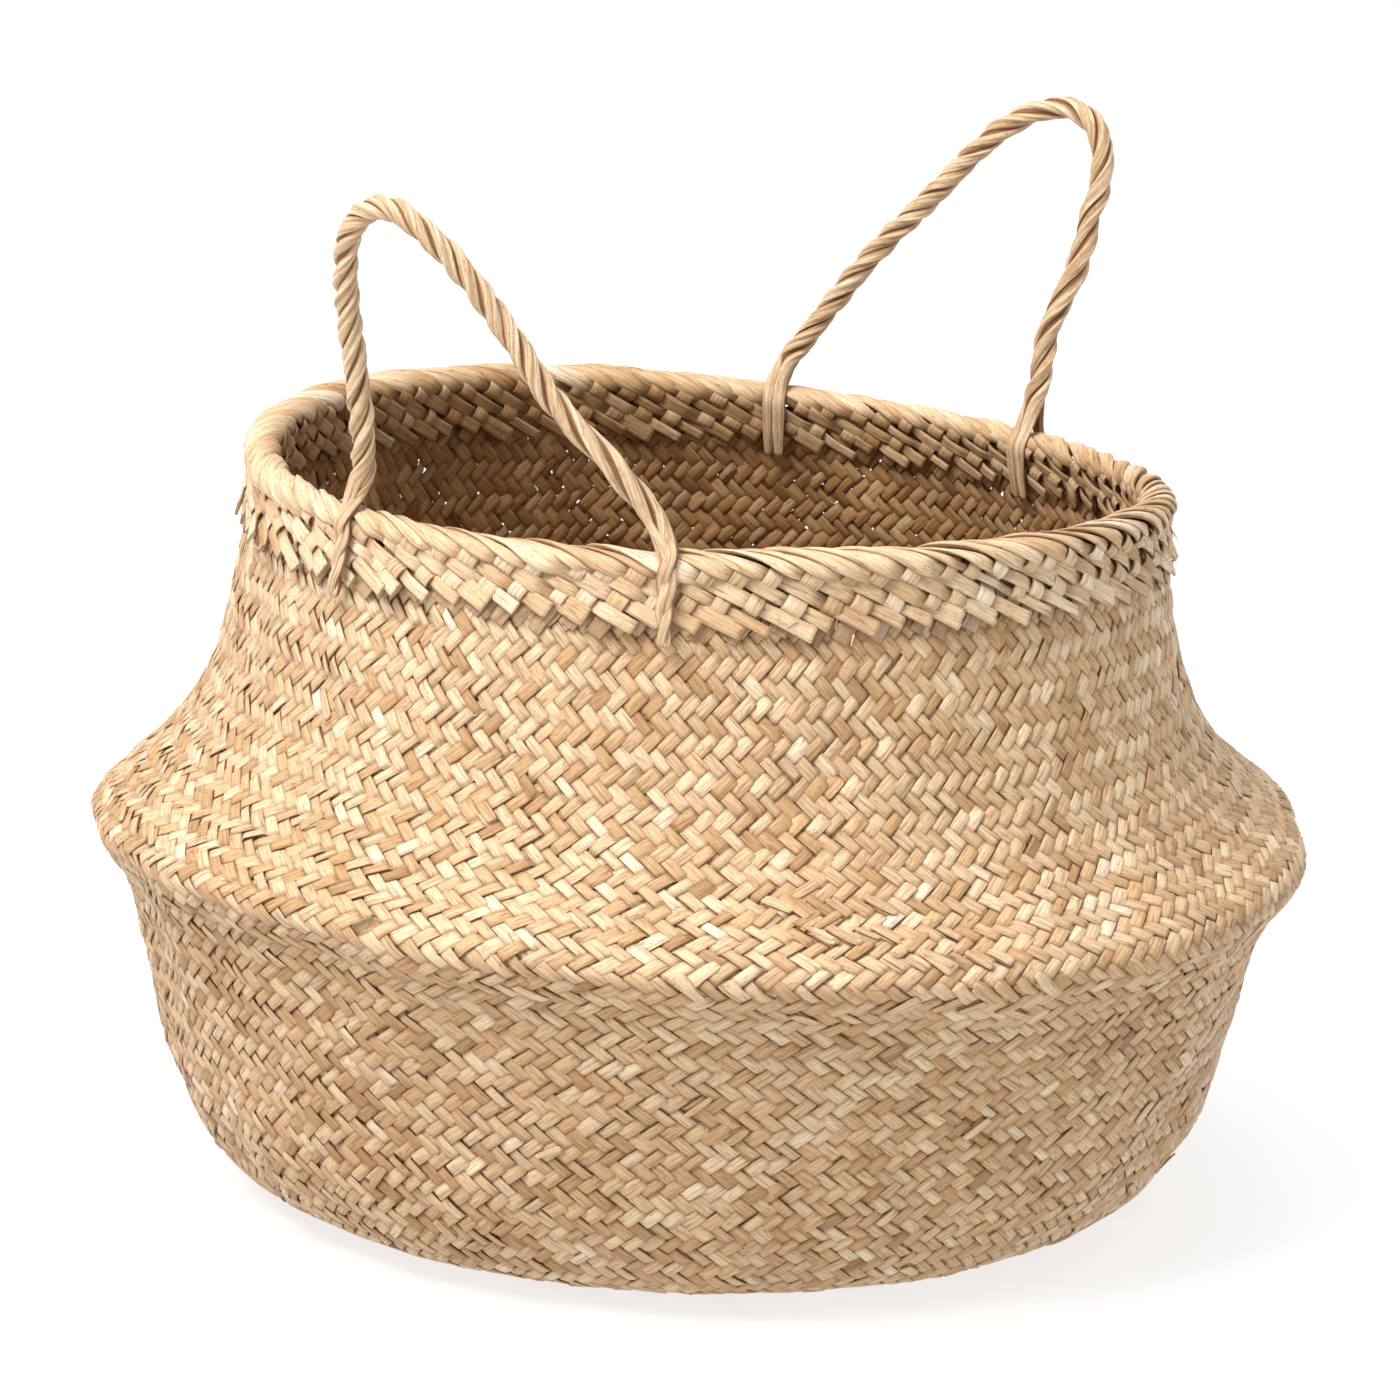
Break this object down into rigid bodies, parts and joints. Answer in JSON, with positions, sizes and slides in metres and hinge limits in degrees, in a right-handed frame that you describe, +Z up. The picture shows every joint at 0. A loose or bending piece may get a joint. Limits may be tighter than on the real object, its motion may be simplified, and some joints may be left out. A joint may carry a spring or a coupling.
{
  "type": "plaited belly basket",
  "caption": "Round plaited seagrass basket with a sharp belly fold, hollow shoulder, upright neck, rolled rim and twisted rope handles; the neck pushes down into the belly.",
  "frame": {"origin": "centre of the base mat's underside, on the surface that the basket stands on", "axes": "+Z up out of the mouth, -Y towards the front handle's side, +X to the right seen from the front"},
  "size_m": [0.32, 0.32, 0.2766],
  "materials": {
    "wall_plait": "flattened dried seagrass strands in a two-over two-under twill plait, satin, straw-coloured with darker strands",
    "rim_plait": "wide dried seagrass strands, satin, plaited back down and rolled along the top edge",
    "rope": "three-ply twisted seagrass rope, satin, wrinkled along each ply"
  },
  "bodies": {
    "body": {"base_mat": "wall_plait", "lower_wall": "wall_plait", "shoulder_wall": "wall_plait"},
    "neck": {"neck_wall": "wall_plait", "rim_band_outer": "rim_plait", "rim_band_inner": "rim_plait", "rim_edge": "rim_plait", "front_handle_left_outer_tail": "rope", "front_handle_left_inner_tail": "rope", "front_handle_right_outer_tail": "rope", "front_handle_right_inner_tail": "rope", "back_handle_left_outer_tail": "rope", "back_handle_left_inner_tail": "rope", "back_handle_right_outer_tail": "rope", "back_handle_right_inner_tail": "rope"},
    "front_handle": {"front_handle_rope": "rope"},
    "back_handle": {"back_handle_rope": "rope"}
  },
  "joints": [
    {"name": "neck_press", "type": "slide", "parent": "body", "child": "neck", "axis": [0, 0, 1], "range_m": [-0.05, 0], "deforming": ["shoulder_wall"]},
    {"name": "front_handle_swing", "type": "hinge", "parent": "neck", "child": "front_handle", "pos_m": [-0.04731, -0.097, 0.19562], "axis": [-0.8988, 0.4384, 0.0034], "range_deg": [-74, 104]},
    {"name": "back_handle_swing", "type": "hinge", "parent": "neck", "child": "back_handle", "pos_m": [0.05258, 0.09564, 0.19201], "axis": [0.875, -0.4811, -0.0538], "range_deg": [-74, 104]}
  ]
}
